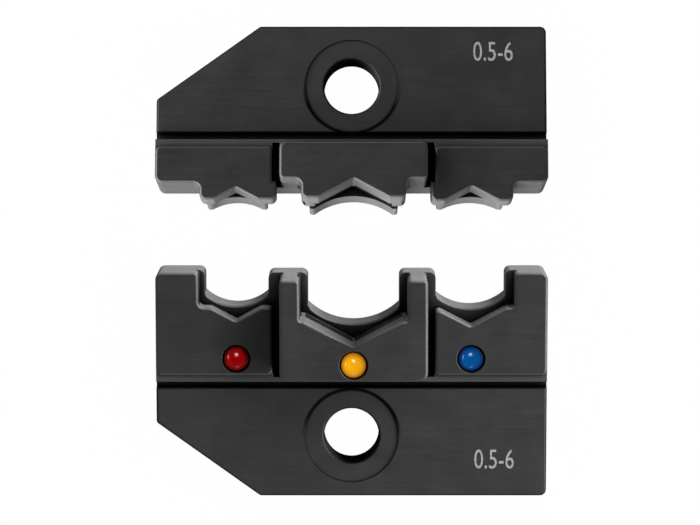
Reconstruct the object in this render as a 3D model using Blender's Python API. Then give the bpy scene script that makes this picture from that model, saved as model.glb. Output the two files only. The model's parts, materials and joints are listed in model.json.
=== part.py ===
"""A pair of crimp dies for insulated cable terminals, lying on their backs as a matched set.

The lower die carries three nests and three coloured markers, the upper die the three noses that
close into them. Each die is built flat in its own frame, in millimetres:
    u  across the die, to the right
    v  from the shoulder towards the crimping edge
    w  from the back of the jaw towards its front
It is then laid on the table. The jaw stands further back than the tang, so a die that lies on its
back tips until the end of its tang touches the table.
"""

import cmath
import math
from dataclasses import dataclass

import bmesh
import bpy
import numpy as np
from mathutils import Matrix, Vector
from mathutils.geometry import delaunay_2d_cdt

MM = 0.001

# Tang: the plate that the tool clamps, with one screw through its bore
TANG_LENGTH = 11.65
TANG_THICKNESS = 4.0
CHAMFER_ACROSS = 10.4
CHAMFER_HEIGHT = 7.5
BORE_DIAMETER = 5.5
BORE_DROP = 5.5
BORE_EDGE_BREAK = 0.25
SPOT_FACE_DIAMETER = 9.5
SPOT_FACE_DEPTH = 0.2

# Jaw: how far its faces stand in front of the tang, and how far its back stands behind
BACK_OVERHANG = 1.54
LOWER_SIDE_PROUD = 0.4
UPPER_SIDE_PROUD = 1.85
MIDDLE_PROUD = 4.45
SLAB_STEP = 0.4
SLAB_HEIGHT = 1.75
LOWER_SIDE_START = 0.7
UPPER_SIDE_START = 0.9
MIDDLE_START = 0.85
GROOVE_START = 0.5
UPPER_SLAB_START = 0.15
LOWER_LAND = 11.1
UPPER_LAND = 4.6
POST_DROP = 0.25
OUTER_LAND = 3.55
BACK_SLICE = 3.8
LOWER_RELIEF_WIDTH = 0.6
UPPER_RELIEF_WIDTH = 0.95
RELIEF_DEPTH = 0.8

# Crimping stations: their spacing, and the middle block that holds the centre one
NEST_PITCH = 11.75
NEST_OFFSET = 0.2
MIDDLE_BLOCK_WIDTH = 14.7
BLOCK_GROOVE = 0.75
VEE_SLOPE = math.radians(28)
NOSE_TIP_WIDTH = 0.5
NOSE_SHELF = 0.15
NOSE_UNDERCUT = 0.4
NOSE_UNDERCUT_DEPTH = 1.8

# Clearances
NOSE_SIDE_CLEARANCE = 0.15
NOSE_BLOCK_CLEARANCE = 0.35
SLICE_CLEARANCE = 0.4
CLOSED_LAND_GAP = 0.3
MARKER_GAP = 0.2
MARKER_SEAT_GAP = 0.3

# Edges and corners
BLOCK_EDGE = 0.3
SLAB_EDGE = 0.1
SLICE_EDGE = 0.2
NEST_EDGE = 0.3
TANG_EDGE = 0.25
POST_CORNER = 0.6
BLOCK_CORNER = 0.45
LAND_CORNER = 0.7
FOOT_CORNER = 0.6
NOSE_FILLET = 0.65
NEST_CORNER = 0.6
TIP_CORNER = 0.3
VEE_ROOT = 0.3
VEE_FLAT = 0.4

# Colour markers
MARKER_DIAMETER = 2.45
MARKER_RISE = 2.4
MARKER_DOME = 0.6
MARKER_SHANK = 0.6

# Layout: the two shoulders apart, as the open pair lies
SHOULDER_SPACING = 22.8

# Facets
CORNER_FACET = math.radians(18.1)
ARC_STEPS = 20
BORE_STEPS = 48
MARKER_STEPS = 32
EDGE_STEPS = 3
CUTTER_REACH = 2.0
FILLET_SHARE = 0.8
GRID_DIGITS = 5
SAME_POINT = 1e-4
FLAT_ANGLE = math.radians(0.1)
RIM_ANGLE = math.radians(60)
# The triangulation keeps what lies inside the profiles
INSIDE_TRIANGLES = 1


@dataclass
class Station:
    """One crimping station. The front slice grips the insulation, the back slice crimps the wire."""

    name: str
    place: int
    arc_half: float
    arc_depth: float
    arc_radius: float
    grip_half: float
    vee_half: float
    vee_depth: float
    crimp_height: float
    nose_radius: float
    nose_vee_half: float
    nose_reach: float

    @property
    def centre(self):
        return NEST_OFFSET + self.place * NEST_PITCH

    @property
    def nose_top(self):
        """How far the nose's arc stands beyond the upper land."""
        return self.arc_depth - self.crimp_height


RED = Station(
    name="red",
    place=-1,
    arc_half=3.2,
    arc_depth=3.64,
    arc_radius=4.65,
    grip_half=3.75,
    vee_half=2.5,
    vee_depth=3.56,
    crimp_height=2.65,
    nose_radius=5.2,
    nose_vee_half=2.2,
    nose_reach=1.7,
)
YELLOW = Station(
    name="yellow",
    place=0,
    arc_half=4.6,
    arc_depth=5.44,
    arc_radius=6.65,
    grip_half=5.35,
    vee_half=4.9,
    vee_depth=4.33,
    crimp_height=4.55,
    nose_radius=6.7,
    nose_vee_half=3.5,
    nose_reach=1.9,
)
BLUE = Station(
    name="blue",
    place=1,
    arc_half=3.5,
    arc_depth=3.88,
    arc_radius=5.3,
    grip_half=4.3,
    vee_half=3.5,
    vee_depth=3.55,
    crimp_height=2.9,
    nose_radius=6.3,
    nose_vee_half=2.7,
    nose_reach=1.85,
)
STATIONS = (RED, YELLOW, BLUE)

# Sizes that follow
HALF_WIDTH = NEST_PITCH + max(RED.grip_half, BLUE.grip_half) + OUTER_LAND
MIDDLE_LEFT = NEST_OFFSET - MIDDLE_BLOCK_WIDTH / 2
MIDDLE_RIGHT = NEST_OFFSET + MIDDLE_BLOCK_WIDTH / 2
SIDE_LEFT = MIDDLE_LEFT - BLOCK_GROOVE
SIDE_RIGHT = MIDDLE_RIGHT + BLOCK_GROOVE
POST_HEIGHT = LOWER_LAND - POST_DROP
CLOSED_SPACING = LOWER_LAND + UPPER_LAND + CLOSED_LAND_GAP
TANG_FRONT = BACK_OVERHANG + TANG_THICKNESS
MIDDLE_FRONT = TANG_FRONT + MIDDLE_PROUD
# A die tips until the end of its tang and the back edge of its jaw both touch the table
TILT = math.atan2(BACK_OVERHANG, TANG_LENGTH)


@dataclass
class Die:
    """What differs between the two dies: their steps, the relief, and which way the jaw points."""

    name: str
    side_front: float
    back_slice: float
    slab_start: float
    relief_width: float
    nest_edge: float
    turned: int

    @property
    def slab_front(self):
        return self.side_front - SLAB_STEP


LOWER = Die(
    name="lower_die",
    side_front=TANG_FRONT + LOWER_SIDE_PROUD,
    back_slice=BACK_SLICE,
    slab_start=0.0,
    relief_width=LOWER_RELIEF_WIDTH,
    nest_edge=NEST_EDGE,
    turned=1,
)
UPPER = Die(
    name="upper_die",
    side_front=TANG_FRONT + UPPER_SIDE_PROUD,
    back_slice=BACK_SLICE + SLICE_CLEARANCE,
    slab_start=UPPER_SLAB_START,
    relief_width=UPPER_RELIEF_WIDTH,
    nest_edge=0.0,
    turned=-1,
)


def clear_scene():
    for obj in list(bpy.data.objects):
        bpy.data.objects.remove(obj, do_unlink=True)


def arc_points(centre, floor, radius, half):
    """Points of a circular hollow that curves up at its ends, from its right end to its left."""
    span = math.asin(half / radius)
    points = []
    for step in range(ARC_STEPS + 1):
        angle = span - 2 * span * step / ARC_STEPS
        rise = radius * (1 - math.cos(angle))
        points.append((centre + radius * math.sin(angle), floor + rise, 0.0))
    return points


def rounded(points):
    """The outline with each corner (u, v, radius) replaced by an arc, within half of its sides."""
    outline = []
    for before, corner, after in zip(points[-1:] + points[:-1], points, points[1:] + points[:1]):
        here = complex(*corner[:2])
        to_before = complex(*before[:2]) - here
        to_after = complex(*after[:2]) - here
        half_angle = abs(cmath.phase(to_after / to_before)) / 2
        reach = min(corner[2] / math.tan(half_angle), 0.49 * abs(to_before), 0.49 * abs(to_after))
        if reach <= 0.0:
            outline.append(here)
            continue
        start = here + to_before / abs(to_before) * reach
        end = here + to_after / abs(to_after) * reach
        middle = here + (start + end - 2 * here) / (2 * math.cos(half_angle) ** 2)
        sweep = cmath.phase((end - middle) / (start - middle))
        steps = math.ceil(abs(sweep) / CORNER_FACET)
        for step in range(steps + 1):
            outline.append(middle + (start - middle) * cmath.rect(1.0, sweep * step / steps))
    # The same corner has to come out alike in every outline that shares it
    return [(round(point.real, GRID_DIGITS), round(point.imag, GRID_DIGITS)) for point in outline]


def circle(centre, radius, steps):
    outline = []
    for step in range(steps):
        angle = 2 * math.pi * step / steps
        outline.append((centre[0] + radius * math.cos(angle), centre[1] + radius * math.sin(angle)))
    return outline


def new_object(name, shape):
    """The finished shape as an object, its normals outward and its millimetres made metres."""
    bmesh.ops.recalc_face_normals(shape, faces=shape.faces)
    bmesh.ops.scale(shape, vec=(MM, MM, MM), verts=shape.verts)
    mesh = bpy.data.meshes.new(name)
    shape.to_mesh(mesh)
    shape.free()
    obj = bpy.data.objects.new(name, mesh)
    bpy.context.scene.collection.objects.link(obj)
    return obj


def spans_of(inside, plates, pockets):
    """The stretches of w with metal, within the profiles numbered in inside."""
    solid = sorted(plates[number][1:] for number in inside if number < len(plates))
    floors = [pockets[number - len(plates)][1] for number in inside if number >= len(plates)]
    spans = []
    for back, front in solid:
        if spans and back <= spans[-1][1]:
            spans[-1] = (spans[-1][0], max(spans[-1][1], front))
        else:
            spans.append((back, front))
    floor = min(floors, default=math.inf)
    return [(back, min(front, floor)) for back, front in spans if back < floor]


def walls_between(spans, others):
    """The stretches of w where spans have metal and others, on the far side of an edge, have none."""
    stretches = spans
    for back, front in others:
        parts = []
        for low, high in stretches:
            parts += [(low, min(high, back)), (max(low, front), high)]
        stretches = [(low, high) for low, high in parts if high > low]
    return stretches


def raise_profiles(plates, pockets, turned):
    """One closed solid from plates (profile, back, front) that overlap, less pockets (profile, floor).

    The profiles cut one another into cells, and each cell is raised from its back to its front.
    """
    corners = []
    loops = []
    for entry in plates + pockets:
        loops.append(list(range(len(corners), len(corners) + len(entry[0]))))
        corners += [Vector(point) for point in entry[0]]
    flat = delaunay_2d_cdt(corners, [], loops, INSIDE_TRIANGLES, SAME_POINT)
    points = flat[0]
    cells = flat[2]
    metal = [spans_of(inside, plates, pockets) for inside in flat[5]]

    levels = [set() for _ in points]
    beside = {}
    for cell, spans in zip(cells, metal):
        for start, end in zip(cell, cell[1:] + cell[:1]):
            beside[(start, end)] = spans
            for span in spans:
                levels[start].update(span)

    shape = bmesh.new()
    made = {}

    def vertex(point, level):
        if (point, level) not in made:
            u, v = points[point]
            made[(point, level)] = shape.verts.new((u, v * turned, level))
        return made[(point, level)]

    def up(point, low, high):
        return [vertex(point, level) for level in sorted(levels[point]) if low <= level <= high]

    for cell, spans in zip(cells, metal):
        for back, front in spans:
            shape.faces.new([vertex(point, front) for point in cell])
            shape.faces.new([vertex(point, back) for point in reversed(cell)])
    for (start, end), spans in beside.items():
        for low, high in walls_between(spans, beside.get((end, start), [])):
            shape.faces.new(up(end, low, high) + up(start, low, high)[::-1])
    bmesh.ops.recalc_face_normals(shape, faces=shape.faces)
    bmesh.ops.dissolve_limit(
        shape,
        angle_limit=FLAT_ANGLE,
        verts=shape.verts,
        edges=shape.edges,
        delimit={"NORMAL"},
    )
    return shape


def within(circles):
    """A test of whether a point lies in one of the circles, given as (u, v, radius)."""
    return lambda point: any(math.dist(point[:2], ring[:2]) < ring[2] for ring in circles)


def round_edges(shape, level, radius, chosen):
    """Rounds the convex edges at one level whose middle is chosen."""
    bmesh.ops.recalc_face_normals(shape, faces=shape.faces)
    rim = []
    for edge in shape.edges:
        if any(abs(end.co.z - level) > SAME_POINT for end in edge.verts):
            continue
        if edge.calc_face_angle_signed() < RIM_ANGLE:
            continue
        if chosen((edge.verts[0].co + edge.verts[1].co) / 2):
            rim.append(edge)
    bmesh.ops.bevel(
        shape,
        geom=rim,
        offset=radius,
        offset_type="OFFSET",
        segments=EDGE_STEPS,
        profile=0.5,
        affect="EDGES",
        clamp_overlap=False,
    )


def turned_solid(name, profile, centre, steps):
    """A closed solid turned about the w axis at centre. The profile runs (radius, w) from axis to axis."""
    shape = bmesh.new()
    rings = []
    for radius, w in profile:
        outline = circle(centre, radius, steps) if radius else [centre]
        rings.append([shape.verts.new((u, v, w)) for u, v in outline])
    for below, above in zip(rings, rings[1:]):
        for step in range(steps):
            ring = [below[step % len(below)], below[(step + 1) % len(below)]]
            ring += [above[(step + 1) % len(above)], above[step % len(above)]]
            shape.faces.new(list(dict.fromkeys(ring)))
    return new_object(name, shape)


def vee(station, shoulder, half, low, high, low_corner, high_corner):
    """The vee's points from its right foot to its left, cut short at u = low or high."""

    def height(u):
        return shoulder - max(0.0, half - abs(u - station.centre)) * math.tan(VEE_SLOPE)

    points = [(high, height(high), high_corner)]
    if station.centre + half < high - VEE_FLAT:
        points.append((station.centre + half, shoulder, NEST_CORNER))
    points.append((station.centre, height(station.centre), VEE_ROOT))
    if station.centre - half > low + VEE_FLAT:
        points.append((station.centre - half, shoulder, NEST_CORNER))
    points.append((low, height(low), low_corner))
    return points


def lower_back_outline():
    points = [(-HALF_WIDTH, 0.0, 0.0), (HALF_WIDTH, 0.0, 0.0)]
    points.append((HALF_WIDTH, LOWER_LAND, LAND_CORNER))
    level = LOWER_LAND
    for station in reversed(STATIONS):
        next_level = LOWER_LAND if station is RED else POST_HEIGHT
        floor = LOWER_LAND - station.arc_depth
        points.append((station.centre + station.arc_half, level, POST_CORNER))
        points += arc_points(station.centre, floor, station.arc_radius, station.arc_half)
        points.append((station.centre - station.arc_half, next_level, POST_CORNER))
        level = next_level
    points.append((-HALF_WIDTH, LOWER_LAND, LAND_CORNER))
    return rounded(points)


def upper_back_outline():
    points = [(-HALF_WIDTH, 0.0, 0.0), (HALF_WIDTH, 0.0, 0.0)]
    points.append((HALF_WIDTH, UPPER_LAND, LAND_CORNER))
    for station in reversed(STATIONS):
        outer = station.arc_half - NOSE_SIDE_CLEARANCE
        inner = outer - NOSE_TIP_WIDTH
        top = UPPER_LAND + station.nose_top
        tip = top + station.nose_radius * (1 - math.cos(math.asin(inner / station.nose_radius)))
        points.append((station.centre + outer, UPPER_LAND, TIP_CORNER))
        points.append((station.centre + outer, tip, TIP_CORNER))
        points += arc_points(station.centre, top, station.nose_radius, inner)
        points.append((station.centre - outer, tip, TIP_CORNER))
        points.append((station.centre - outer, UPPER_LAND, TIP_CORNER))
    points.append((-HALF_WIDTH, UPPER_LAND, LAND_CORNER))
    return rounded(points)


def lower_side_outlines():
    """The two blocks beside the middle one, each with its vee nest open towards the middle block."""
    nest = RED.centre - RED.grip_half
    shoulder = LOWER_LAND - RED.vee_depth
    foot = LOWER_SIDE_START
    left = [(-HALF_WIDTH, foot, FOOT_CORNER), (SIDE_LEFT, foot, BLOCK_CORNER)]
    left += vee(RED, shoulder, RED.vee_half, nest, SIDE_LEFT, NEST_CORNER, BLOCK_CORNER)
    left += [(nest, LOWER_LAND, BLOCK_CORNER), (-HALF_WIDTH, LOWER_LAND, LAND_CORNER)]
    nest = BLUE.centre + BLUE.grip_half
    shoulder = LOWER_LAND - BLUE.vee_depth
    right = [(SIDE_RIGHT, foot, BLOCK_CORNER), (HALF_WIDTH, foot, FOOT_CORNER)]
    right += [(HALF_WIDTH, LOWER_LAND, LAND_CORNER), (nest, LOWER_LAND, BLOCK_CORNER)]
    right += vee(BLUE, shoulder, BLUE.vee_half, SIDE_RIGHT, nest, BLOCK_CORNER, NEST_CORNER)
    return rounded(left), rounded(right)


def lower_middle_outline():
    low = YELLOW.centre - YELLOW.grip_half
    high = YELLOW.centre + YELLOW.grip_half
    shoulder = LOWER_LAND - YELLOW.vee_depth
    points = [(MIDDLE_LEFT, MIDDLE_START, LAND_CORNER), (MIDDLE_RIGHT, MIDDLE_START, LAND_CORNER)]
    points += [(MIDDLE_RIGHT, POST_HEIGHT, BLOCK_CORNER), (high, POST_HEIGHT, BLOCK_CORNER)]
    points += vee(YELLOW, shoulder, YELLOW.vee_half, low, high, NEST_CORNER, NEST_CORNER)
    points += [(low, POST_HEIGHT, BLOCK_CORNER), (MIDDLE_LEFT, POST_HEIGHT, BLOCK_CORNER)]
    return rounded(points)


def nose(station, low, high, undercut=0.0):
    """The nose of a front slice, from its right side to its left, with a vee in its end."""
    flat = UPPER_LAND + station.nose_reach
    return vee(station, flat, station.nose_vee_half + undercut, low, high, NEST_CORNER, NEST_CORNER)


def upper_side_outlines():
    """The two blocks beside the middle one. Each nose is a little wider than its block inwards."""
    inner = MIDDLE_LEFT - NOSE_BLOCK_CLEARANCE
    outer = RED.centre - RED.grip_half + NOSE_SIDE_CLEARANCE
    foot = UPPER_SIDE_START
    left = [(-HALF_WIDTH, foot, FOOT_CORNER), (SIDE_LEFT, foot, BLOCK_CORNER)]
    shelf = UPPER_LAND - NOSE_SHELF
    left += [(SIDE_LEFT, shelf, 0.0), (inner, shelf, 0.0)]
    left += nose(RED, outer, inner)
    left += [(outer, UPPER_LAND, NOSE_FILLET), (-HALF_WIDTH, UPPER_LAND, LAND_CORNER)]
    inner = MIDDLE_RIGHT + NOSE_BLOCK_CLEARANCE
    outer = BLUE.centre + BLUE.grip_half - NOSE_SIDE_CLEARANCE
    right = [(SIDE_RIGHT, foot, BLOCK_CORNER), (HALF_WIDTH, foot, FOOT_CORNER)]
    right += [(HALF_WIDTH, UPPER_LAND, LAND_CORNER), (outer, UPPER_LAND, NOSE_FILLET)]
    right += nose(BLUE, inner, outer)
    right += [(inner, shelf, 0.0), (SIDE_RIGHT, shelf, 0.0)]
    return rounded(left), rounded(right)


def upper_middle_outline(undercut=0.0):
    half = YELLOW.grip_half - NOSE_SIDE_CLEARANCE
    low = YELLOW.centre - half
    high = YELLOW.centre + half
    points = [(MIDDLE_LEFT, MIDDLE_START, LAND_CORNER), (MIDDLE_RIGHT, MIDDLE_START, LAND_CORNER)]
    points += [(MIDDLE_RIGHT, UPPER_LAND, BLOCK_CORNER), (high, UPPER_LAND, NOSE_FILLET)]
    points += nose(YELLOW, low, high, undercut)
    points += [(low, UPPER_LAND, NOSE_FILLET), (MIDDLE_LEFT, UPPER_LAND, BLOCK_CORNER)]
    return rounded(points)


def tang_outline(die):
    return rounded(
        [
            (-HALF_WIDTH, die.slab_start, 0.0),
            (-HALF_WIDTH, CHAMFER_HEIGHT - TANG_LENGTH, BLOCK_CORNER),
            (CHAMFER_ACROSS - HALF_WIDTH, -TANG_LENGTH, BLOCK_CORNER),
            (HALF_WIDTH, -TANG_LENGTH, POST_CORNER),
            (HALF_WIDTH, die.slab_start, 0.0),
        ]
    )


def slab_outline(die):
    """The slab behind the blocks, cut back where the grooves between them run out."""
    points = [(-HALF_WIDTH, die.slab_start), (HALF_WIDTH, die.slab_start), (HALF_WIDTH, SLAB_HEIGHT)]
    for right, left in ((SIDE_RIGHT, MIDDLE_RIGHT), (MIDDLE_LEFT, SIDE_LEFT)):
        points.append((right, SLAB_HEIGHT))
        points.append((right, GROOVE_START))
        points.append((left, GROOVE_START))
        points.append((left, SLAB_HEIGHT))
    points.append((-HALF_WIDTH, SLAB_HEIGHT))
    return points


def marker_face(station):
    return MIDDLE_FRONT if station is YELLOW else LOWER.side_front


def marker_hole(station):
    outline = circle((station.centre, MARKER_RISE), MARKER_DIAMETER / 2 + MARKER_GAP, MARKER_STEPS)
    return (outline, marker_face(station) - MARKER_SHANK - MARKER_SEAT_GAP)


def marker(station):
    """A short round stud with a domed head, which stands a little proud of the die's face."""
    face = marker_face(station)
    radius = MARKER_DIAMETER / 2
    profile = [(0.0, face - MARKER_SHANK), (radius, face - MARKER_SHANK)]
    rings = MARKER_STEPS // 4
    for step in range(rings):
        angle = 0.5 * math.pi * step / rings
        profile.append((radius * math.cos(angle), face + MARKER_DOME * math.sin(angle)))
    profile.append((0.0, face + MARKER_DOME))
    return turned_solid("marker_" + station.name, profile, (station.centre, MARKER_RISE), MARKER_STEPS)


def build_die(die, back_outline, side_outlines, middle_plates, marked):
    """The die as one solid: the back slice, the slab, three blocks in front of it, and the tang."""
    plates = [
        (back_outline, 0.0, die.back_slice),
        (slab_outline(die), die.back_slice, die.slab_front),
        (tang_outline(die), BACK_OVERHANG, TANG_FRONT),
    ]
    plates += [(outline, die.back_slice, die.side_front) for outline in side_outlines]
    plates += middle_plates

    bore = (0.0, -BORE_DROP)
    spot_level = TANG_FRONT - SPOT_FACE_DEPTH
    reach = HALF_WIDTH + CUTTER_REACH
    relief_start = die.slab_start - die.relief_width
    relief = [(-reach, relief_start), (reach, relief_start), (reach, die.slab_start), (-reach, die.slab_start)]
    pockets = [
        (circle(bore, BORE_DIAMETER / 2, BORE_STEPS), BACK_OVERHANG),
        (circle(bore, SPOT_FACE_DIAMETER / 2, BORE_STEPS), spot_level),
        (relief, TANG_FRONT - RELIEF_DEPTH),
    ]
    pockets += [marker_hole(station) for station in marked]
    shape = raise_profiles(plates, pockets, die.turned)

    bore_place = (0.0, -BORE_DROP * die.turned)
    on_bore = within([(*bore_place, BORE_DIAMETER / 2 + SAME_POINT)])
    on_spot = within([(*bore_place, SPOT_FACE_DIAMETER / 2 + SAME_POINT)])
    on_hole = within([(station.centre, MARKER_RISE * die.turned, MARKER_DIAMETER) for station in marked])

    def on_shoulder(point):
        return abs(point[1] * die.turned - die.slab_start) < SAME_POINT

    def on_tang(point):
        return point[1] * die.turned < relief_start - SAME_POINT

    def on_arc(point):
        return any(abs(point[0] - station.centre) < station.arc_half - SAME_POINT for station in STATIONS)

    step = die.side_front - die.slab_front
    round_edges(shape, 0.0, SLICE_EDGE, lambda point: True)
    if die.nest_edge:
        round_edges(shape, die.back_slice, die.nest_edge, on_arc)
    round_edges(shape, MIDDLE_FRONT, BLOCK_EDGE, lambda point: not on_hole(point))
    round_edges(shape, die.side_front, min(BLOCK_EDGE, FILLET_SHARE * step), lambda point: not on_hole(point))
    step = die.slab_front - TANG_FRONT + RELIEF_DEPTH
    round_edges(shape, die.slab_front, min(SLAB_EDGE, FILLET_SHARE * step), on_shoulder)
    round_edges(shape, TANG_FRONT, TANG_EDGE, lambda point: on_tang(point) and not on_spot(point))
    round_edges(shape, BACK_OVERHANG, TANG_EDGE, lambda point: not on_bore(point))
    round_edges(shape, spot_level, BORE_EDGE_BREAK, on_bore)
    round_edges(shape, BACK_OVERHANG, BORE_EDGE_BREAK, on_bore)
    return new_object(die.name, shape)


def world_box(obj, matrix):
    points = np.array([tuple(matrix @ vertex.co) for vertex in obj.data.vertices])
    return points.min(axis=0), points.max(axis=0)


def lay_out(lower, upper):
    """Where each die lies: on the table, and with the pair centred on its own box."""
    places = []
    for obj, die in ((lower, LOWER), (upper, UPPER)):
        matrix = Matrix.Translation((0, -die.turned * SHOULDER_SPACING / 2 * MM, 0))
        matrix = matrix @ Matrix.Rotation(die.turned * TILT, 4, "X")
        places.append(matrix)
    boxes = [world_box(obj, place) for obj, place in zip((lower, upper), places)]
    shift = -(min(box[0][1] for box in boxes) + max(box[1][1] for box in boxes)) / 2
    return [
        Matrix.Translation((0, shift, -box[0][2])) @ place for box, place in zip(boxes, places)
    ]


def stroke_axis(lower_place, upper_place):
    """The point about which one turn takes the upper die from where it lies into the lower one."""
    start = upper_place.translation
    end = lower_place @ Vector((0, CLOSED_SPACING * MM, 0))
    middle = (start + end) / 2
    across = end - start
    lift = 0.5 / math.tan(TILT)
    return Vector((0, middle.y - lift * across.z, middle.z + lift * across.y))


def add_material(obj, colour, roughness, metallic):
    material = bpy.data.materials.new(obj.name + "_finish")
    material.use_nodes = True
    shader = material.node_tree.nodes["Principled BSDF"]
    shader.inputs["Base Color"].default_value = (*colour, 1.0)
    shader.inputs["Roughness"].default_value = roughness
    shader.inputs["Metallic"].default_value = metallic
    obj.data.materials.clear()
    obj.data.materials.append(material)


def smooth(obj, angle):
    obj.data.shade_smooth()
    obj.data.set_sharp_from_angle(angle=angle)


def main():
    clear_scene()
    middle = [(lower_middle_outline(), LOWER.back_slice, MIDDLE_FRONT)]
    lower = build_die(LOWER, lower_back_outline(), lower_side_outlines(), middle, STATIONS)
    middle = [
        (upper_middle_outline(NOSE_UNDERCUT), UPPER.back_slice, MIDDLE_FRONT),
        (upper_middle_outline(), UPPER.back_slice + NOSE_UNDERCUT_DEPTH, MIDDLE_FRONT),
    ]
    upper = build_die(UPPER, upper_back_outline(), upper_side_outlines(), middle, ())
    markers = [marker(station) for station in STATIONS]

    lower_place, upper_place = lay_out(lower, upper)
    lower.matrix_world = lower_place
    for stud in markers:
        stud.matrix_world = lower_place

    axis = bpy.data.objects.new("crimp_stroke_axis", None)
    bpy.context.scene.collection.objects.link(axis)
    axis.location = stroke_axis(lower_place, upper_place)
    bpy.context.view_layer.update()
    upper.parent = axis
    upper.matrix_parent_inverse = axis.matrix_world.inverted()
    upper.matrix_world = upper_place

    for die in (lower, upper):
        add_material(die, (0.035, 0.036, 0.038), 0.42, 0.7)
        smooth(die, math.radians(32))
    colours = ((0.40, 0.002, 0.005), (0.90, 0.42, 0.01), (0.01, 0.10, 0.40))
    for stud, colour in zip(markers, colours):
        add_material(stud, colour, 0.15, 0.0)
        smooth(stud, math.radians(50))


main()
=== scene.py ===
"""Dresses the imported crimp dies: black oxide steel, glossy colour markers, soft light on white."""

import json
import math
from types import SimpleNamespace

import bpy
from mathutils import Matrix, Vector

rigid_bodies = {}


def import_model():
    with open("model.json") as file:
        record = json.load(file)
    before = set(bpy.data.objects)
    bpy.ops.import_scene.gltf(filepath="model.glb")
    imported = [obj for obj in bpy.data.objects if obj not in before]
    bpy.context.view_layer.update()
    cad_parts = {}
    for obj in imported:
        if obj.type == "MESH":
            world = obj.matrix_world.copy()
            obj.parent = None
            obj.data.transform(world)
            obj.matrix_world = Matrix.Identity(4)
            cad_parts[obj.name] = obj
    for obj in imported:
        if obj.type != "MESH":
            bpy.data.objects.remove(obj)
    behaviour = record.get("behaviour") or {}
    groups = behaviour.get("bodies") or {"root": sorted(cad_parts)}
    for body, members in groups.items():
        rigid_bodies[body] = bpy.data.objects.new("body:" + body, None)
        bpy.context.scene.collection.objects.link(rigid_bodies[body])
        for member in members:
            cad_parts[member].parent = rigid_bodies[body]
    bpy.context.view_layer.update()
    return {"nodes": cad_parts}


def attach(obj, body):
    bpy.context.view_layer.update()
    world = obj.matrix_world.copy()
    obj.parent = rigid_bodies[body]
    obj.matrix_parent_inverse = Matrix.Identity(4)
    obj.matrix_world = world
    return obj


# Camera, fitted to the photograph: straight above the table
CAMERA_PLACE = (-0.00016, -0.00015, 0.3)
CAMERA_LENS = 151.05
CAMERA_CLIP_START = 0.01
SENSOR_WIDTH = 36.0

# Floor: its own tone, how bright it glows, the share of that glow, and how much the dies mirror
FLOOR_HALF = 0.6
FLOOR_TONE = 0.86
FLOOR_BRIGHTNESS = 1.06
FLOOR_GLOW = 0.93
FLOOR_MIRRORED = 0.1

# World: spans of height, and the strengths between which the light goes there
OVERHEAD_SPAN = (0.60, 0.88)
HORIZON_SPAN = (0.05, 0.35)
TENT_LIGHT = 0.38
DARK_LIGHT = 0.03

# Each die's name, the turn of its lamps in degrees, and the power of its fill lamp
DIES = (("lower", 0, 0.105), ("upper", 180, 0.085))
# Lamps: azimuth and elevation in degrees, distance, size and power
SIDE_SOFTBOX = (-15, 30, 0.6, (0.50, 0.40), 3.0)
FILL_SOFTBOX = (-90, 60, 0.6, (0.50, 0.20))
LAND_SOFTBOX = (38, 22, 0.6, (0.70, 0.40), 5.8)
MARKER_LAMPS = (
    ("marker_window", 95, 79, 0.5, (0.14, 0.14), 1.9),
    ("marker_strip", 180, 42, 0.6, (0.24, 0.04), 1.2),
    ("marker_fill", -85, 30, 0.6, (0.20, 0.03), 0.3),
)

# The direction that each die's front faces look, as it lies
LOWER_FACE = (0.0, -0.13105, 0.99138)
UPPER_FACE = (0.0, 0.13105, 0.99138)
# The direction that each die's lands look
LOWER_EDGE = (0.0, 0.99138, 0.13105)
UPPER_EDGE = (0.0, -0.99138, 0.13105)

# Places along a die's edge direction, in millimetres: the shoulder, the end of the worn strip of
# slab beside it, where the lands' tone is full, and the bore's axis
SHOULDER = -11.3
SHOULDER_BLUR = 0.2
STRIP_END = -10.5
STRIP_BLUR = 0.15
LANDS_FULL = -8.5
BORE_BACK = -16.8
# Levels along a die's face direction: the middle vee's wall is pale above the upper one and kept dark
# below it as painted shade, and the back slice ends below the lower one
VEE_BRIGHT_ABOVE = 8.0
VEE_BLUR = 0.3
BACK_SLICE_FRONT = 5.45
BACK_SLICE_BLUR = 0.1
# The middle vee's reach to both sides, where the mask fades
MIDDLE_REACH = (6.8, 7.0)
BORE_RADIUS = 2.75
BORE_SPAN = (0.01, 0.05)
SPOT_FACE_RADIUS = 4.75
# The spot face's corner: the width of the dark line of painted shade, the width of the band that fades
# elsewhere, and the span along the edge direction over which one gives way to the other
CORNER_LINE_SPAN = (0.06, 0.28)
FADED_SPAN = (0.4, 0.5)
NEAR_SHOULDER_SPAN = (-0.5, 2.0)

# Noise: scale, detail and roughness, and the shades that each one gives the oxide
CLOUDS = (0.22, 4.0, 0.6)
CLOUD_SPAN = (0.3, 0.7)
CLOUD_SHADES = (0.86, 1.12)
SPECKLE = (5.5, 2.0, 0.7)
SPECKLE_SPAN = (0.25, 0.75)
SPECKLE_SHADES = (0.86, 1.14)
TRACES = (1.4, 3.0, 0.65)
TRACE_STRETCH = (6.0, 0.35, 0.35)
TRACE_SPAN = (0.3, 0.7)
TRACE_SHADES = (0.92, 1.08)

# Tones of the oxide. The lands' tones hold at two places along the edge direction: paler ground steel,
# darker deeper in the nests as painted shade
LOWER_TONE = 0.030
UPPER_TONE = 0.023
LOWER_LANDS = ((-6.8, 0.09), (-4.0, 0.36))
UPPER_LANDS = ((-6.7, 0.22), (-4.6, 0.42))
OXIDE_WARMTH = -0.02
STRIP_PALER = 3
STRIP_WORN = 0.6
# Roundings on the jaw: partly wear, partly painted highlight
ROUNDING_TONE = 0.11
ROUNDING_WARMTH = 0.02
# Painted shade on the tang's roundings
TANG_ROUNDING_TONE = 0.012
# Painted shade in the spot face's corner and on the bore's wall
CORNER_TONE = 0.002
# Painted shade along the tang's outline
OUTLINE_TONE = 0.003
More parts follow.
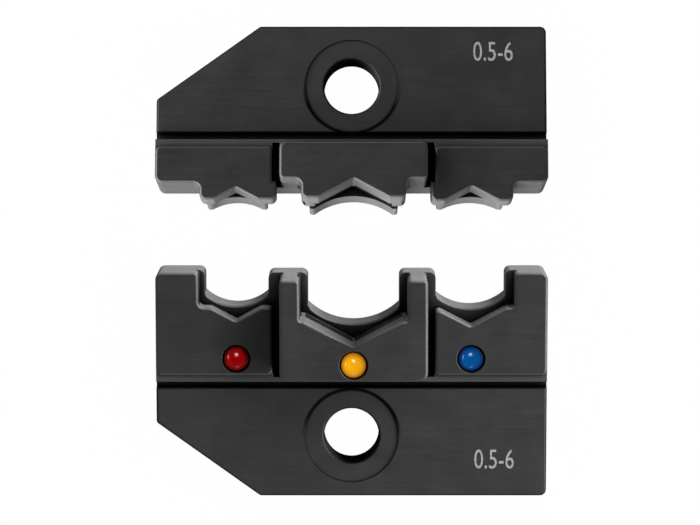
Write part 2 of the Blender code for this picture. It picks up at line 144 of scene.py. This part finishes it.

# Recesses and inner corners: how far a point looks for walls, and the spans of what it sees open; the
# oxide's colour is darkened there as painted shade
SKY_REACH = 0.003
SKY_SPAN = (0.3, 0.7)
SKY_SHADES = (0.05, 1.0)
CORNER_REACH = 0.0004
CORNER_SPAN = (0.55, 0.95)
OCCLUSION_SAMPLES = 8

# Ground faces: the span of how squarely they look along the edge direction
GROUND_SPAN = (0.35, 0.75)
GROUND_SHADES = (0.75, 1.0)
SLOPE_SPAN = (0.90, 0.97)
SLOPE_DARKER = 0.35
SLOPE_ROUGHNESS = 0.6
VEE_WALL_SPAN = (0.3, 0.6)

# Edges: the shaded rounding, and the wider line in which the tang's outline is painted darker as shade
EDGE_SOFTNESS = 0.00012
OUTLINE_WIDTH = 0.00035
BEVEL_SAMPLES = 6
NEAR_EDGE_SPAN = (0.99, 0.90)
OUTLINE_SPAN = (0.995, 0.90)
# Edges paler partly as rubbed wear and partly as a painted highlight
RUBBED_AND_HIGHLIGHT_SPAN = (0.35, 0.65)
RUBBED_AND_HIGHLIGHT_SHARE = (0.3, 0.75)
# Modelled roundings, found by how squarely they look along the face direction: paler on the jaw as wear
# and painted highlight, dark on the tang as painted shade
ROUNDING_START = (0.12, 0.4)
ROUNDING_SHARE = 0.8
ROUNDING_END = (0.97, 0.85)

# Sheen of the oxide
SATIN_SPAN = (0.3, 0.9)
SATIN_SHADES = (0.75, 1.0)
TRACES_IN_GRAIN = 0.8
GRAIN_SPAN = (0.6, 1.2)
GRAIN_ROUGHNESS = (0.34, 0.48)
RECESS_SPAN = (0.35, 0.75)
RECESS_ROUGHNESS = (0.5, 0.2)
# Painted shade: black metal without sheen where little sky is open
DEEP_SPAN = (0.35, 0.7)
DEEPEST = 0.93
BORE_LEVELLED = 0.6
TRACES_IN_HEIGHT = 0.6
OXIDE_BUMP = 0.16
OXIDE_IOR = 1.6
BUMP_DISTANCE = 0.00001

# Enamel of the markers: each one's colour, and its darker colour, for random clouding and for painted
# shade at the foot of the dome
RED = ((0.25, 0.0, 0.001), (0.05, 0.0, 0.0))
YELLOW = ((0.80, 0.36, 0.006), (0.48, 0.16, 0.002))
BLUE = ((0.0, 0.075, 0.28), (0.0, 0.016, 0.09))
ENAMEL_CLOUD = (1.1, 3.0)
ENAMEL_CLOUD_SPAN = (0.35, 0.7)
ENAMEL_CLOUD_SHARE = 0.22
ORANGE_PEEL = (3.2, 2.0)
ORANGE_PEEL_SPAN = (0.3, 0.7)
ENAMEL_ROUGHNESS = (0.09, 0.17)
# Painted shade towards the foot of the dome
SKIRT_SPAN = (0.97, 0.72)
SKIRT_SHARE = 0.85
ENAMEL_BUMP = 0.12
ENAMEL_IOR = 1.25

# Size range, marked on the right of each tang
MARK_TEXT = "0.5-6"
MARK_SIZE = 0.0028
MARK_NARROWED = 0.72
MARK_THICKNESS = 0.00002
MARK_CURVE_STEPS = 4
LOWER_MARK_PLACE = (0.01434, -0.02004)
UPPER_MARK_PLACE = (0.01424, 0.02100)
ABOVE_THE_DIES = 0.02
MARK_WEAR = (4.0, 3.0, 0.6)
MARK_WEAR_SPAN = (0.35, 0.65)
MARK_TONES = (0.30, 0.48)
MARK_WARMTH = 0.01
MARK_ROUGHNESS_SPAN = (0.3, 0.7)
MARK_ROUGHNESS = (0.7, 0.5)

# Shading of the CAD meshes
SMOOTH_BELOW = math.radians(40)
FLAT_WITHIN = math.radians(0.3)
WELD_DISTANCE = 2e-6
WEIGHTED_NORMAL_WEIGHT = 50
WEIGHTED_NORMAL_THRESHOLD = 0.01

MILLIMETRES = 1000.0
RISING = (0.0, 1.0)
FALLING = (1.0, 0.0)
BLACK = (0.0, 0.0, 0.0, 1.0)
# Sockets of a Mix node, which has a set of them for each kind of data
MIX_FACTOR = 0
MIX_VECTORS = (4, 5)
MIX_COLOURS = (6, 7)
VECTOR_RESULT = 1
COLOUR_RESULT = 2


def node(tree, kind, inputs=None, **settings):
    """A new shader node, with its settings, and its inputs set to values or linked to sockets."""
    made = tree.nodes.new(kind)
    for name, value in settings.items():
        setattr(made, name, value)
    for name, value in (inputs or {}).items():
        if isinstance(value, bpy.types.NodeSocket):
            tree.links.new(value, made.inputs[name])
        else:
            made.inputs[name].default_value = value
    return made


def new_material(name):
    material = bpy.data.materials.new(name)
    material.use_nodes = True
    tree = material.node_tree
    tree.nodes.clear()
    return material, tree


def finish_material(tree, shader_output):
    output = node(tree, "ShaderNodeOutputMaterial")
    tree.links.new(shader_output, output.inputs["Surface"])


def in_millimetres(tree, stretch=(1.0, 1.0, 1.0)):
    """Object coordinates in millimetres, stretched along each axis."""
    place = node(tree, "ShaderNodeTexCoord").outputs["Object"]
    scale = [MILLIMETRES / factor for factor in stretch]
    mapped = node(tree, "ShaderNodeMapping", {"Vector": place, "Scale": scale}, vector_type="POINT")
    return mapped.outputs["Vector"]


def noise(tree, vector, scale, detail=3.0, roughness=0.55):
    made = node(
        tree,
        "ShaderNodeTexNoise",
        {"Vector": vector, "Scale": scale, "Detail": detail, "Roughness": roughness},
    )
    return made.outputs["Fac"]


def remap(tree, value, span, target=RISING):
    """The value, carried from its span to the target pair and held at both ends."""
    (low, high), (to_low, to_high) = span, target
    made = node(
        tree,
        "ShaderNodeMapRange",
        {"Value": value, "From Min": low, "From Max": high, "To Min": to_low, "To Max": to_high},
        clamp=True,
    )
    return made.outputs["Result"]


def calculate(tree, operation, first, second=0.0):
    return node(tree, "ShaderNodeMath", {0: first, 1: second}, operation=operation).outputs["Value"]


def product(tree, *values):
    result = values[0]
    for value in values[1:]:
        result = calculate(tree, "MULTIPLY", result, value)
    return result


def largest(tree, *values):
    result = values[0]
    for value in values[1:]:
        result = calculate(tree, "MAXIMUM", result, value)
    return result


def inverse(tree, mask):
    return calculate(tree, "SUBTRACT", 1.0, mask)


def along(tree, vector, direction):
    """How far a vector reaches along a direction."""
    made = node(tree, "ShaderNodeVectorMath", {0: vector, 1: direction}, operation="DOT_PRODUCT")
    return made.outputs["Value"]


def mix_colour(tree, factor, first, second):
    low, high = MIX_COLOURS
    inputs = {MIX_FACTOR: factor, low: first, high: second}
    return node(tree, "ShaderNodeMix", inputs, data_type="RGBA").outputs[COLOUR_RESULT]


def mix_vector(tree, factor, first, second):
    low, high = MIX_VECTORS
    inputs = {MIX_FACTOR: factor, low: first, high: second}
    return node(tree, "ShaderNodeMix", inputs, data_type="VECTOR").outputs[VECTOR_RESULT]


def turned(tree, vector, source, target):
    """A normal, carried from one of the spaces WORLD and OBJECT to the other."""
    made = node(
        tree,
        "ShaderNodeVectorTransform",
        {"Vector": vector},
        vector_type="NORMAL",
        convert_from=source,
        convert_to=target,
    )
    return made.outputs["Vector"]


def grey(value, warmth=0.0):
    return (value * (1 + warmth), value, value * (1 - warmth), 1.0)


def occlusion(tree, reach):
    made = node(tree, "ShaderNodeAmbientOcclusion", {"Distance": reach}, samples=OCCLUSION_SAMPLES)
    return made.outputs["AO"]


def bevelled_normal(tree, radius):
    return node(tree, "ShaderNodeBevel", {"Radius": radius}, samples=BEVEL_SAMPLES).outputs["Normal"]


def oxide_grain(tree):
    """The three noises that make up the oxide: soft clouds, fine speckle, long brush traces."""
    return SimpleNamespace(
        clouds=noise(tree, in_millimetres(tree), *CLOUDS),
        speckle=noise(tree, in_millimetres(tree), *SPECKLE),
        traces=noise(tree, in_millimetres(tree, TRACE_STRETCH), *TRACES),
    )


def middle_vee_depth(tree, face):
    """Mask for the deeper part of the middle block's vee, where painted shade keeps the oxide dark."""
    place = in_millimetres(tree)
    level = along(tree, place, face)
    across = node(tree, "ShaderNodeSeparateXYZ", {"Vector": place}).outputs["X"]
    inside = remap(tree, calculate(tree, "ABSOLUTE", across), MIDDLE_REACH, FALLING)
    below = remap(tree, level, (VEE_BRIGHT_ABOVE - VEE_BLUR, VEE_BRIGHT_ABOVE), FALLING)
    above = remap(tree, level, (BACK_SLICE_FRONT, BACK_SLICE_FRONT + BACK_SLICE_BLUR))
    return product(tree, inside, below, above)


def round_the_bore(tree, reached):
    """Masks for the spot face's corner, painted dark as shade, for the side on which it fades out, and
    for the bore's wall, also painted dark as shade.
    """
    across = node(tree, "ShaderNodeSeparateXYZ", {"Vector": in_millimetres(tree)}).outputs["X"]
    past_axis = calculate(tree, "SUBTRACT", reached, BORE_BACK)
    squares = [product(tree, value, value) for value in (across, past_axis)]
    radius = calculate(tree, "SQRT", calculate(tree, "ADD", *squares))
    off = calculate(tree, "ABSOLUTE", calculate(tree, "SUBTRACT", radius, SPOT_FACE_RADIUS))
    near_shoulder = remap(tree, past_axis, NEAR_SHOULDER_SPAN)
    corner_line = product(tree, remap(tree, off, CORNER_LINE_SPAN, FALLING), near_shoulder)
    elsewhere = inverse(tree, near_shoulder)
    faded = product(tree, remap(tree, off, FADED_SPAN, FALLING), elsewhere)
    bore_span = [BORE_RADIUS + past for past in BORE_SPAN]
    return corner_line, faded, remap(tree, radius, bore_span, FALLING)


def die_masks(tree, face, edge, grain):
    """Where a die is recessed, cornered, ground, sloping, rounded, outlined or part of its jaw."""
    masks = SimpleNamespace()
    masks.reached = along(tree, in_millimetres(tree), edge)
    masks.on_jaw = remap(tree, masks.reached, (SHOULDER - SHOULDER_BLUR, SHOULDER))
    strip = remap(tree, masks.reached, (STRIP_END, STRIP_END + STRIP_BLUR), FALLING)
    masks.strip = product(tree, strip, masks.on_jaw)

    masks.open_sky = occlusion(tree, SKY_REACH)
    open_corner = remap(tree, occlusion(tree, CORNER_REACH), CORNER_SPAN)
    masks.corner_line, masks.faded, masks.in_bore = round_the_bore(tree, masks.reached)
    masks.open_corner = largest(tree, open_corner, masks.faded)

    # What looks along the edge direction meets the terminal and is ground, the vees' slopes less so
    surface_normal = node(tree, "ShaderNodeNewGeometry").outputs["Normal"]
    own_normal = turned(tree, surface_normal, "WORLD", "OBJECT")
    crimping = along(tree, own_normal, edge)
    ground = product(
        tree,
        remap(tree, crimping, GROUND_SPAN),
        remap(tree, grain.clouds, CLOUD_SPAN, GROUND_SHADES),
        remap(tree, masks.reached, (STRIP_END, LANDS_FULL)),
    )
    masks.sloping = product(tree, remap(tree, crimping, SLOPE_SPAN, FALLING), ground)
    vee_wall = remap(tree, masks.sloping, VEE_WALL_SPAN)
    # Painted shade: the deeper part of the middle vee loses the lands' pale tone and is made black
    masks.behind = product(tree, middle_vee_depth(tree, face), vee_wall)
    ground = calculate(tree, "SUBTRACT", ground, product(tree, masks.sloping, SLOPE_DARKER))
    masks.ground = product(tree, ground, inverse(tree, masks.behind))

    # A bevelled normal leans away from the true one only beside an edge
    masks.bevelled = bevelled_normal(tree, EDGE_SOFTNESS)
    near_edge = remap(tree, along(tree, masks.bevelled, surface_normal), NEAR_EDGE_SPAN)
    speckled = remap(tree, grain.speckle, RUBBED_AND_HIGHLIGHT_SPAN, RUBBED_AND_HIGHLIGHT_SHARE)
    # Edges rubbed paler: partly real wear, partly a painted highlight where edges catch light
    rubbed_and_highlight = product(tree, near_edge, speckled, masks.open_corner)
    # Painted shade: the tang's outline is found here and later made nearly black
    outline = along(tree, bevelled_normal(tree, OUTLINE_WIDTH), surface_normal)
    outline = remap(tree, outline, OUTLINE_SPAN)

    masks.flatness = calculate(tree, "ABSOLUTE", along(tree, own_normal, face))
    not_faded = inverse(tree, masks.faded)
    rounding = remap(tree, masks.flatness, ROUNDING_START, (0.0, ROUNDING_SHARE))
    rounding = product(tree, rounding, remap(tree, masks.flatness, ROUNDING_END))
    masks.rounding = product(tree, largest(tree, rounding, rubbed_and_highlight), not_faded)
    outline = largest(tree, masks.rounding, product(tree, outline, not_faded))
    masks.outline = product(tree, outline, inverse(tree, masks.on_jaw))
    return masks


def oxide_colour(tree, tone, lands, grain, masks):
    """The oxide's tone, darker in recesses and corners as painted shade, paler where it is worn or
    ground, and paler at rubbed edges as wear and painted highlight.
    """
    shade = product(
        tree,
        remap(tree, grain.clouds, CLOUD_SPAN, CLOUD_SHADES),
        remap(tree, grain.speckle, SPECKLE_SPAN, SPECKLE_SHADES),
        remap(tree, grain.traces, TRACE_SPAN, TRACE_SHADES),
    )
    # Half the shade of twice the tone, so that the mix can also go above the tone
    colour = mix_colour(tree, product(tree, shade, 0.5), BLACK, grey(2 * tone, OXIDE_WARMTH))
    # The strip of slab beside the shoulder is worn by the tool's jaw
    worn = product(tree, masks.strip, STRIP_WORN)
    colour = mix_colour(tree, worn, colour, grey(STRIP_PALER * tone, OXIDE_WARMTH))

    # Painted shade: the colour goes towards black where a point sees little open sky, in recesses and
    # inner corners
    colour = mix_colour(tree, remap(tree, masks.open_sky, SKY_SPAN, SKY_SHADES), BLACK, colour)
    colour = mix_colour(tree, masks.open_corner, BLACK, colour)
    # Painted shade: the spot face's corner line and the bore's wall are made nearly black
    dark = largest(tree, masks.corner_line, masks.in_bore)
    colour = mix_colour(tree, dark, colour, grey(CORNER_TONE))

    # The lands are paler ground steel, and darker towards the nests' depth as painted shade
    (start, start_tone), (end, end_tone) = lands
    pale = remap(tree, masks.reached, (start, end), (start_tone, end_tone))
    colour = mix_colour(tree, masks.ground, colour, pale)

    # The roundings: paler on the jaw as wear and painted highlight, dark on the tang as painted shade
    jaw_tone = grey(ROUNDING_TONE, ROUNDING_WARMTH)
    rounding_wear_light_and_shade_tone = mix_colour(tree, masks.on_jaw, grey(TANG_ROUNDING_TONE), jaw_tone)
    colour = mix_colour(tree, masks.rounding, colour, rounding_wear_light_and_shade_tone)
    # Painted shade along the tang's outline
    return mix_colour(tree, masks.outline, colour, grey(OUTLINE_TONE))


def oxide_roughness(tree, grain, masks):
    satin = remap(tree, masks.flatness, SATIN_SPAN, SATIN_SHADES)
    brushed = calculate(tree, "ADD", grain.clouds, product(tree, grain.traces, TRACES_IN_GRAIN))
    return largest(
        tree,
        product(tree, satin, remap(tree, brushed, GRAIN_SPAN, GRAIN_ROUGHNESS)),
        remap(tree, masks.open_sky, RECESS_SPAN, RECESS_ROUGHNESS),
        product(tree, masks.sloping, SLOPE_ROUGHNESS),
    )


def painted_shade_black(tree, masks):
    """Painted shade: where the oxide is made black without sheen, in recesses, corners, the bore, the
    middle vee's depth and the tang's outline.
    """
    deep = largest(
        tree,
        masks.corner_line,
        remap(tree, masks.open_sky, DEEP_SPAN, FALLING),
        masks.outline,
        masks.in_bore,
        masks.behind,
    )
    return product(tree, deep, inverse(tree, masks.ground), DEEPEST)


def oxide_normal(tree, face, grain, masks):
    """Softened edges and a fine relief, with the face's own normal where the corner fades out."""
    level = turned(tree, face, "OBJECT", "WORLD")
    levelled = largest(tree, masks.faded, product(tree, masks.in_bore, BORE_LEVELLED))
    softened = mix_vector(tree, levelled, masks.bevelled, level)
    height = calculate(tree, "ADD", product(tree, grain.traces, TRACES_IN_HEIGHT), grain.speckle)
    return bumped(tree, OXIDE_BUMP, height, {"Normal": softened})


def bumped(tree, strength, height, more=None):
    inputs = {"Strength": strength, "Distance": BUMP_DISTANCE, "Height": height, **(more or {})}
    return node(tree, "ShaderNodeBump", inputs).outputs["Normal"]


def black_oxide(name, tone, face, edge, lands):
    """Blackened tool steel, with brush traces, cloudy oxide, and edges paler as rubbed wear and painted
    highlight.

    Faces that look along face are satin. The lands look along edge, are ground smoother and paler, and
    their tone grows between the two (distance, tone) pairs in lands, darker deeper in the nests as
    painted shade.
    """
    material, tree = new_material(name)
    grain = oxide_grain(tree)
    masks = die_masks(tree, face, edge, grain)
    shader = node(
        tree,
        "ShaderNodeBsdfPrincipled",
        {
            "Base Color": oxide_colour(tree, tone, lands, grain, masks),
            "Roughness": oxide_roughness(tree, grain, masks),
            # Painted shade: black metal without sheen in recesses and corners
            "Metallic": painted_shade_black(tree, masks),
            "Normal": oxide_normal(tree, face, grain, masks),
            "IOR": OXIDE_IOR,
        },
    )
    finish_material(tree, shader.outputs["BSDF"])
    return material


def enamel(name, colours):
    """A glossy domed marker: even colour, darker towards the foot of the dome as painted shade, and
    fine orange peel.
    """
    colour, dark = [(*rgb, 1.0) for rgb in colours]
    material, tree = new_material(name)
    cloud = noise(tree, in_millimetres(tree), *ENAMEL_CLOUD)
    peel = noise(tree, in_millimetres(tree), *ORANGE_PEEL)
    clouded = remap(tree, cloud, ENAMEL_CLOUD_SPAN, (0.0, ENAMEL_CLOUD_SHARE))
    tinted = mix_colour(tree, clouded, colour, dark)
    own_normal = node(tree, "ShaderNodeTexCoord").outputs["Normal"]
    # Painted shade: darker where the dome turns away from the face direction
    painted_foot_shade = remap(tree, along(tree, own_normal, LOWER_FACE), SKIRT_SPAN, (0.0, SKIRT_SHARE))
    shader = node(
        tree,
        "ShaderNodeBsdfPrincipled",
        {
            "Base Color": mix_colour(tree, painted_foot_shade, tinted, dark),
            "Roughness": remap(tree, peel, ORANGE_PEEL_SPAN, ENAMEL_ROUGHNESS),
            "Normal": bumped(tree, ENAMEL_BUMP, peel),
            "IOR": ENAMEL_IOR,
        },
    )
    finish_material(tree, shader.outputs["BSDF"])
    return material


def etched(name):
    """Pale etched strokes: bright, matt steel that is worn unevenly."""
    material, tree = new_material(name)
    wear = noise(tree, in_millimetres(tree), *MARK_WEAR)
    dull, bright = MARK_TONES
    worn = remap(tree, wear, MARK_WEAR_SPAN)
    colour = mix_colour(tree, worn, grey(dull), grey(bright, MARK_WARMTH))
    rough = remap(tree, wear, MARK_ROUGHNESS_SPAN, MARK_ROUGHNESS)
    shader = node(tree, "ShaderNodeBsdfPrincipled", {"Base Color": colour, "Roughness": rough})
    finish_material(tree, shader.outputs["BSDF"])
    return material


def dress(obj, material):
    """Gives a CAD node its material, and shades its flats flat and its roundings smooth."""
    obj.data.materials.clear()
    obj.data.materials.append(material)
    weld = obj.modifiers.new("weld", "WELD")
    weld.merge_threshold = WELD_DISTANCE
    flats = obj.modifiers.new("flats", "DECIMATE")
    flats.decimate_type = "DISSOLVE"
    flats.angle_limit = FLAT_WITHIN
    group = bpy.data.node_groups.get("smooth_by_angle") or smooth_group()
    obj.modifiers.new("smooth_by_angle", "NODES").node_group = group
    weighted = obj.modifiers.new("flat_faces", "WEIGHTED_NORMAL")
    weighted.mode = "FACE_AREA"
    weighted.weight = WEIGHTED_NORMAL_WEIGHT
    weighted.thresh = WEIGHTED_NORMAL_THRESHOLD
    weighted.keep_sharp = True


def smooth_group():
    """Nodes that shade smooth across every edge that turns less than SMOOTH_BELOW."""
    group = bpy.data.node_groups.new("smooth_by_angle", "GeometryNodeTree")
    group.interface.new_socket("Geometry", in_out="INPUT", socket_type="NodeSocketGeometry")
    group.interface.new_socket("Geometry", in_out="OUTPUT", socket_type="NodeSocketGeometry")
    start = group.nodes.new("NodeGroupInput")
    angle = group.nodes.new("GeometryNodeInputMeshEdgeAngle").outputs["Unsigned Angle"]
    gentle = node(
        group,
        "FunctionNodeCompare",
        {"A": angle, "B": SMOOTH_BELOW},
        data_type="FLOAT",
        operation="LESS_THAN",
    )
    edges = node(
        group,
        "GeometryNodeSetShadeSmooth",
        {"Geometry": start.outputs[0], "Shade Smooth": gentle.outputs["Result"]},
        domain="EDGE",
    )
    faces = node(
        group,
        "GeometryNodeSetShadeSmooth",
        {"Geometry": edges.outputs["Geometry"], "Shade Smooth": True},
        domain="FACE",
    )
    group.links.new(faces.outputs["Geometry"], group.nodes.new("NodeGroupOutput").inputs[0])
    return group


def glowing_floor():
    """A floor that is white to the camera, faintly so in reflections, and keeps the dies' shadow."""
    bpy.ops.mesh.primitive_plane_add(size=2 * FLOOR_HALF, location=(0, 0, 0))
    floor = bpy.context.object
    floor.name = "floor"
    material, tree = new_material("white_floor")
    path = node(tree, "ShaderNodeLightPath")
    seen = largest(
        tree,
        path.outputs["Is Camera Ray"],
        path.outputs["Is Transmission Ray"],
        product(tree, path.outputs["Is Glossy Ray"], FLOOR_MIRRORED),
    )
    lit = node(tree, "ShaderNodeBsdfDiffuse", {"Color": grey(FLOOR_TONE)})
    glow = node(tree, "ShaderNodeEmission", {"Color": grey(1.0), "Strength": FLOOR_BRIGHTNESS})
    mixed = node(
        tree,
        "ShaderNodeMixShader",
        {0: product(tree, seen, FLOOR_GLOW), 1: lit.outputs["BSDF"], 2: glow.outputs["Emission"]},
    )
    finish_material(tree, mixed.outputs["Shader"])
    floor.data.materials.append(material)


def area_light(name, azimuth, elevation, distance, size, power, receivers):
    """A softbox aimed at the dies, which lights its receivers alone and is blocked by them alone."""
    azimuth = math.radians(azimuth)
    elevation = math.radians(elevation)
    data = bpy.data.lights.new(name, "AREA")
    data.shape = "RECTANGLE"
    data.size, data.size_y = size
    data.energy = power
    light = bpy.data.objects.new(name, data)
    bpy.context.scene.collection.objects.link(light)
    flat = math.cos(elevation)
    away = Vector((flat * math.cos(azimuth), flat * math.sin(azimuth), math.sin(elevation)))
    light.location = away * distance
    light.rotation_euler = away.to_track_quat("Z", "Y").to_euler()
    lit = bpy.data.collections.new(name + "_receivers")
    for obj in receivers:
        lit.objects.link(obj)
    light.light_linking.receiver_collection = lit
    light.light_linking.blocker_collection = lit


def named(start):
    return [obj for obj in bpy.data.objects if obj.name.startswith(start)]


def light_tent():
    """A pale tent all round, dark overhead where the camera stands and at the horizon."""
    world = bpy.data.worlds.new("soft_room")
    bpy.context.scene.world = world
    world.use_nodes = True
    tree = world.node_tree
    tree.nodes.clear()
    direction = node(tree, "ShaderNodeTexCoord").outputs["Generated"]
    height = node(tree, "ShaderNodeSeparateXYZ", {"Vector": direction}).outputs["Z"]
    overhead = remap(tree, height, OVERHEAD_SPAN, (TENT_LIGHT, DARK_LIGHT))
    horizon = remap(tree, height, HORIZON_SPAN, (DARK_LIGHT, TENT_LIGHT))
    strength = calculate(tree, "MINIMUM", overhead, horizon)
    background = node(tree, "ShaderNodeBackground", {"Color": grey(1.0), "Strength": strength})
    output = node(tree, "ShaderNodeOutputWorld")
    tree.links.new(background.outputs["Background"], output.inputs["Surface"])


def lamps():
    """Lamps for each die alone, half a turn apart as in the photograph, and for the markers alone."""
    for name, turn, fill_power in DIES:
        receivers = named(name)
        for kind, (azimuth, *lamp) in (
            ("_side_softbox", SIDE_SOFTBOX),
            ("_fill_softbox", (*FILL_SOFTBOX, fill_power)),
            ("_land_softbox", LAND_SOFTBOX),
        ):
            area_light(name + kind, turn + azimuth, *lamp, receivers)
    markers = named("marker")
    for lamp in MARKER_LAMPS:
        area_light(*lamp, markers)


def size_mark(name, body, die, place, face, material):
    """The size range in thin pale strokes, flat on the tang's face under the given place."""
    text = bpy.data.curves.new(name, "FONT")
    text.body = MARK_TEXT
    text.size = MARK_SIZE
    text.align_x = "CENTER"
    text.align_y = "CENTER"
    text.extrude = MARK_THICKNESS / 2
    text.resolution_u = MARK_CURVE_STEPS
    shape = bpy.data.objects.new(name + "_strokes", text)
    bpy.context.scene.collection.objects.link(shape)
    bpy.context.view_layer.update()
    mesh = bpy.data.meshes.new_from_object(shape)
    bpy.data.objects.remove(shape)
    mesh.transform(Matrix.Diagonal((MARK_NARROWED, 1.0, 1.0, 1.0)))
    mark = bpy.data.objects.new(name, mesh)
    bpy.context.scene.collection.objects.link(mark)
    into_die = die.matrix_world.inverted()
    start = into_die @ Vector((*place, ABOVE_THE_DIES))
    down = into_die.to_3x3() @ Vector((0, 0, -1))
    spot = die.ray_cast(start, down)[1]
    mark.location = die.matrix_world @ spot
    mark.rotation_euler.x = -math.atan2(face[1], face[2])
    mesh.materials.append(material)
    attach(mark, body)


def place_camera():
    data = bpy.data.cameras.new("photo_camera")
    data.sensor_width = SENSOR_WIDTH
    data.lens = CAMERA_LENS
    data.clip_start = CAMERA_CLIP_START
    camera = bpy.data.objects.new("photo_camera", data)
    bpy.context.scene.collection.objects.link(camera)
    camera.location = CAMERA_PLACE
    bpy.context.scene.camera = camera


def main():
    for obj in list(bpy.data.objects):
        bpy.data.objects.remove(obj)
    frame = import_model()
    nodes = frame["nodes"]

    lower_oxide = black_oxide("black_oxide_lower", LOWER_TONE, LOWER_FACE, LOWER_EDGE, LOWER_LANDS)
    upper_oxide = black_oxide("black_oxide_upper", UPPER_TONE, UPPER_FACE, UPPER_EDGE, UPPER_LANDS)
    dress(nodes["lower_die"], lower_oxide)
    dress(nodes["upper_die"], upper_oxide)
    for colour_name, colours in (("red", RED), ("yellow", YELLOW), ("blue", BLUE)):
        dress(nodes["marker_" + colour_name], enamel("enamel_" + colour_name, colours))

    etch = etched("etched_mark")
    size_mark("lower_size_mark", "lower", nodes["lower_die"], LOWER_MARK_PLACE, LOWER_FACE, etch)
    size_mark("upper_size_mark", "upper", nodes["upper_die"], UPPER_MARK_PLACE, UPPER_FACE, etch)

    glowing_floor()
    light_tent()
    lamps()
    place_camera()
    bpy.context.scene.view_settings.view_transform = "Standard"


main()
